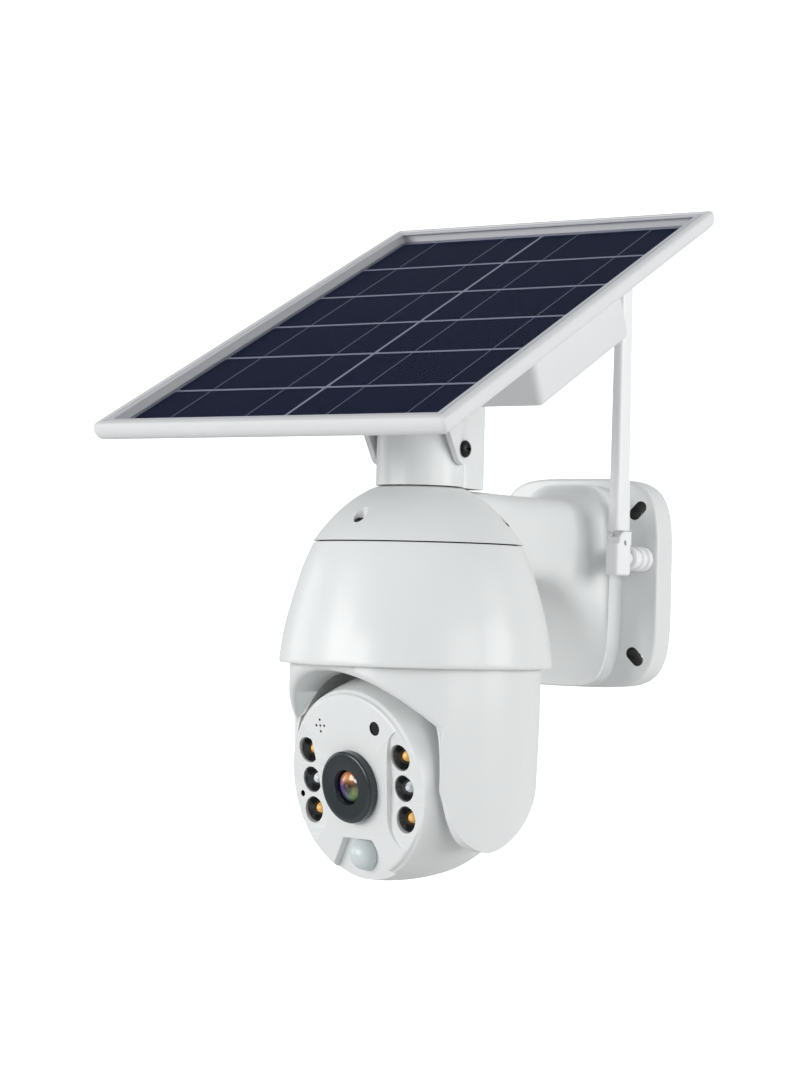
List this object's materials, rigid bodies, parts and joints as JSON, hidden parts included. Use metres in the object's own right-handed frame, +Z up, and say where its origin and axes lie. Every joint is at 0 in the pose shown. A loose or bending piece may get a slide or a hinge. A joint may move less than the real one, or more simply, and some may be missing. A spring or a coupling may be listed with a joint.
{
  "type": "solar security camera",
  "caption": "Wall-mounted pan and tilt security camera with a dome housing, a ball head with lamps and lens, a tilting solar panel on top and a short antenna.",
  "frame": {"origin": "centre of the wall plate's back face", "axes": "+Z up, +Y into the wall, so the camera looks along -Y, and +X to the right as seen from in front"},
  "size_m": [0.176, 0.2944, 0.312],
  "materials": {
    "white_shell": "satin moulded ABS, fine grain",
    "panel_plastic": "satin moulded ABS",
    "antenna_plastic": "satin moulded",
    "solar_cell": "blue polycrystalline silicon with silver busbars",
    "panel_glass": "tempered clear glass",
    "led_reflector": "black cup round an amber or clear lamp",
    "battery_wrap": "wrapped lithium cell",
    "black_screw": "blackened steel",
    "gasket_rubber": "moulded silicone",
    "steel": "plated",
    "circuit_board": "green solder mask",
    "gear_nylon": "moulded nylon",
    "lens_black": "gloss black",
    "lens_glass": "coated optical glass",
    "milky_lens": "milky polyethylene",
    "speaker_black": "black"
  },
  "bodies": {
    "root": {"wall_bracket": "white_shell", "bracket_back_cover": "white_shell", "cap_screw_1": "black_screw", "cap_screw_2": "black_screw", "cap_screw_3": "black_screw", "dome_shell": "white_shell", "dome_gasket": "gasket_rubber", "panel_post": "white_shell", "pan_chassis": "gear_nylon", "pan_motor": "steel", "main_board": "circuit_board", "antenna_connector": "antenna_plastic"},
    "pinion": {"pan_pinion": "gear_nylon"},
    "turret": {"yoke": "white_shell", "pan_gear": "gear_nylon", "tilt_shaft": "steel"},
    "head": {"face_shell": "white_shell", "rear_shell": "white_shell", "lens_ring": "lens_black", "lens_barrel": "lens_black", "lens_glass": "lens_glass", "led_1": "led_reflector", "led_2": "led_reflector", "led_3": "led_reflector", "led_4": "led_reflector", "led_5": "led_reflector", "led_6": "led_reflector", "led_board": "circuit_board", "camera_board": "circuit_board", "pir_dome": "milky_lens", "sensor_window": "lens_black", "speaker": "speaker_black", "tilt_motor": "steel"},
    "solar_panel": {"panel_frame": "panel_plastic", "panel_glass": "panel_glass", "panel_back": "panel_plastic", "solar_cell_1": "solar_cell", "solar_cell_2": "solar_cell", "solar_cell_3": "solar_cell", "solar_cell_4": "solar_cell", "solar_cell_5": "solar_cell", "solar_cell_6": "solar_cell", "solar_cell_7": "solar_cell", "solar_cell_8": "solar_cell", "solar_cell_9": "solar_cell", "solar_cell_10": "solar_cell", "solar_cell_11": "solar_cell", "solar_cell_12": "solar_cell", "battery_box": "panel_plastic", "battery_cover": "panel_plastic", "battery_cell_1": "battery_wrap", "battery_cell_2": "battery_wrap", "battery_cell_3": "battery_wrap", "charge_board": "circuit_board", "panel_bracket": "panel_plastic", "hinge_screw_left": "black_screw", "hinge_screw_right": "black_screw"},
    "antenna_base": {"antenna_knuckle": "antenna_plastic", "antenna_pin": "steel"},
    "antenna": {"antenna_whip": "antenna_plastic"}
  },
  "joints": [
    {"name": "pan", "type": "hinge", "parent": "root", "child": "turret", "pos_m": [0, -0.168, 0], "axis": [0, 0, 1], "range_deg": [-162.5, 192.5]},
    {"name": "pinion_spin", "type": "hinge", "parent": "root", "child": "pinion", "pos_m": [0.0375, -0.168, 0], "axis": [0, 0, 1], "range_deg": [-770.5, 650.5]},
    {"name": "head_tilt", "type": "hinge", "parent": "turret", "child": "head", "pos_m": [0, -0.168, -0.0874], "axis": [0.9659, -0.2588, 0], "range_deg": [-18, 75]},
    {"name": "panel_tilt", "type": "hinge", "parent": "root", "child": "solar_panel", "pos_m": [0, -0.168, 0.057], "axis": [1, 0, 0], "range_deg": [-4, 34]},
    {"name": "antenna_swivel", "type": "hinge", "parent": "root", "child": "antenna_base", "pos_m": [0.0365, -0.042, 0.012], "axis": [0, 1, 0], "range_deg": [-4, 180]},
    {"name": "antenna_fold", "type": "hinge", "parent": "antenna_base", "child": "antenna", "pos_m": [0.0365, -0.042, 0.0193], "axis": [1, 0, 0], "range_deg": [0, 26]}
  ],
  "couplings": [
    {"joint": "pinion_spin", "follows": "pan", "ratio": -4}
  ]
}
